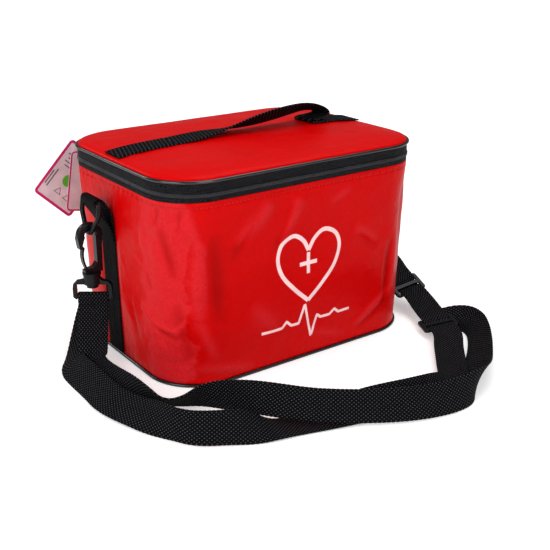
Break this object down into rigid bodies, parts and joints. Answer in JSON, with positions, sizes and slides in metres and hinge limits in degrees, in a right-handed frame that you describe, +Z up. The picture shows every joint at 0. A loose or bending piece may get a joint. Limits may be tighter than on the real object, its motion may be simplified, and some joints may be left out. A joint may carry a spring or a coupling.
{
  "type": "toy doctor case",
  "caption": "Soft red toy doctor case with a zip-round lid, webbing grab handle, swivel-hook shoulder strap and hang tag.",
  "frame": {"origin": "on the floor, at the middle of the case's base", "axes": "+Z up; +X towards the right end of the case as the printed front is faced; +Y from the printed front to the hinged back"},
  "size_m": [0.3543, 0.3489, 0.197],
  "materials": {
    "red_nylon": "coated, glossy weave",
    "black_piping": "glossy",
    "black_tape": "matte woven tape",
    "zip_coil": "satin",
    "black_webbing": "basket weave",
    "black_acetal": "satin moulded",
    "black_enamel": "gloss enamel",
    "white_foam": "closed-cell foam",
    "silver_lining": "coated lining",
    "grey_board": "flat board",
    "printed_card": "coated card",
    "clear_pin": "translucent"
  },
  "bodies": {
    "case": {"outer_wall": "red_nylon", "wall_foam": "white_foam", "inner_lining": "silver_lining", "base_panel": "red_nylon", "base_board": "grey_board", "base_piping": "black_piping", "lower_zip_tape": "black_tape", "lower_zip_coil": "zip_coil", "hinge_tape_lower": "black_tape", "left_side_webbing": "black_webbing", "right_side_webbing": "black_webbing", "tag_pin": "clear_pin", "strap_leg_outer": "black_webbing", "strap_leg_inner": "black_webbing", "strap_link": "black_webbing", "strap_loop_upper": "black_webbing", "strap_loop_lower": "black_webbing"},
    "lid": {"lid_band": "black_tape", "lid_panel": "red_nylon", "lid_piping": "black_piping", "lid_foam": "white_foam", "lid_lining": "silver_lining", "upper_zip_coil": "zip_coil", "hinge_tape_upper": "black_tape", "handle_end_left": "black_webbing", "handle_end_right": "black_webbing"},
    "handle": {"handle_arch": "black_webbing"},
    "zip_slider": {"zip_slider": "black_enamel"},
    "zip_pull": {"zip_pull": "black_enamel"},
    "tag_card": {"tag_card": "printed_card"},
    "tag_leaf": {"tag_leaf": "printed_card"},
    "tri_glide_a": {"tri_glide_a": "black_acetal", "strap_weave_a": "black_webbing"},
    "tri_glide_b": {"tri_glide_b": "black_acetal", "strap_weave_b": "black_webbing"},
    "left_ring": {"left_d_ring": "black_acetal"},
    "left_hook": {"left_hook": "black_acetal"},
    "left_gate": {"left_hook_gate": "black_acetal"},
    "left_eye": {"left_strap_eye": "black_acetal", "strap_turn_left": "black_webbing"},
    "right_ring": {"right_d_ring": "black_acetal"},
    "right_hook": {"right_hook": "black_acetal"},
    "right_gate": {"right_hook_gate": "black_acetal"},
    "right_eye": {"right_strap_eye": "black_acetal", "strap_turn_right": "black_webbing"}
  },
  "joints": [
    {"name": "lid_open", "type": "hinge", "parent": "case", "child": "lid", "pos_m": [0, 0.09372, 0.1586], "axis": [-1, 0, 0], "range_deg": [0, 105]},
    {"name": "handle_flop", "type": "hinge", "parent": "lid", "child": "handle", "pos_m": [0, 0.004, 0.17695], "axis": [1, 0, 0], "range_deg": [-12, 25], "deforming": ["handle_arch"]},
    {"name": "zip_run", "type": "slide", "parent": "case", "child": "zip_slider", "axis": [0, -1, 0], "range_m": [0, 0.094]},
    {"name": "zip_pull_swing", "type": "hinge", "parent": "zip_slider", "child": "zip_pull", "pos_m": [0.1285, 0.046, 0.1586], "axis": [0, 0, 1], "range_deg": [0, 150]},
    {"name": "left_ring_swing", "type": "hinge", "parent": "case", "child": "left_ring", "pos_m": [-0.139, 0.0115, 0.1375], "axis": [0, 1, 0], "range_deg": [0, 25]},
    {"name": "left_hook_rock", "type": "hinge", "parent": "left_ring", "child": "left_hook", "pos_m": [-0.14342, 0.0115, 0.11137], "axis": [0, 1, 0], "range_deg": [0, 6]},
    {"name": "left_gate_press", "type": "hinge", "parent": "left_hook", "child": "left_gate", "pos_m": [-0.14782, 0.0115, 0.08082], "axis": [0, 1, 0], "range_deg": [0, 18], "stiffness_Nm_per_rad": 0.02, "springref_deg": -5.73},
    {"name": "left_eye_swivel", "type": "hinge", "parent": "left_hook", "child": "left_eye", "pos_m": [-0.14342, 0.0115, 0.0713], "axis": [0, 0, 1], "range_deg": [-20, 20]},
    {"name": "right_ring_swing", "type": "hinge", "parent": "case", "child": "right_ring", "pos_m": [0.139, 0.0115, 0.1375], "axis": [0, -1, 0], "range_deg": [0, 25]},
    {"name": "right_hook_rock", "type": "hinge", "parent": "right_ring", "child": "right_hook", "pos_m": [0.14342, 0.0115, 0.11137], "axis": [0, -1, 0], "range_deg": [0, 6]},
    {"name": "right_gate_press", "type": "hinge", "parent": "right_hook", "child": "right_gate", "pos_m": [0.14782, 0.0115, 0.08082], "axis": [0, -1, 0], "range_deg": [0, 18], "stiffness_Nm_per_rad": 0.02, "springref_deg": -5.73},
    {"name": "right_eye_swivel", "type": "hinge", "parent": "right_hook", "child": "right_eye", "pos_m": [0.14342, 0.0115, 0.0713], "axis": [0, 0, 1], "range_deg": [-20, 20]},
    {"name": "tag_card_swing", "type": "hinge", "parent": "case", "child": "tag_card", "pos_m": [-0.0958, 0.1132, 0.1449], "axis": [0, 1, 0], "range_deg": [-20, 20]},
    {"name": "tag_leaf_swing", "type": "hinge", "parent": "case", "child": "tag_leaf", "pos_m": [-0.0958, 0.1122, 0.1449], "axis": [0, 1, 0], "range_deg": [-15, 20]},
    {"name": "glide_a_slide", "type": "slide", "parent": "case", "child": "tri_glide_a", "axis": [0.023, 0.9025, 0.43], "range_m": [-0.006, 0.006], "deforming": ["strap_link", "strap_loop_upper", "strap_loop_lower"]},
    {"name": "glide_b_slide", "type": "slide", "parent": "case", "child": "tri_glide_b", "axis": [0.3804, 0.9241, 0.0355], "range_m": [-0.006, 0.006], "deforming": ["strap_leg_outer", "strap_leg_inner"]}
  ]
}
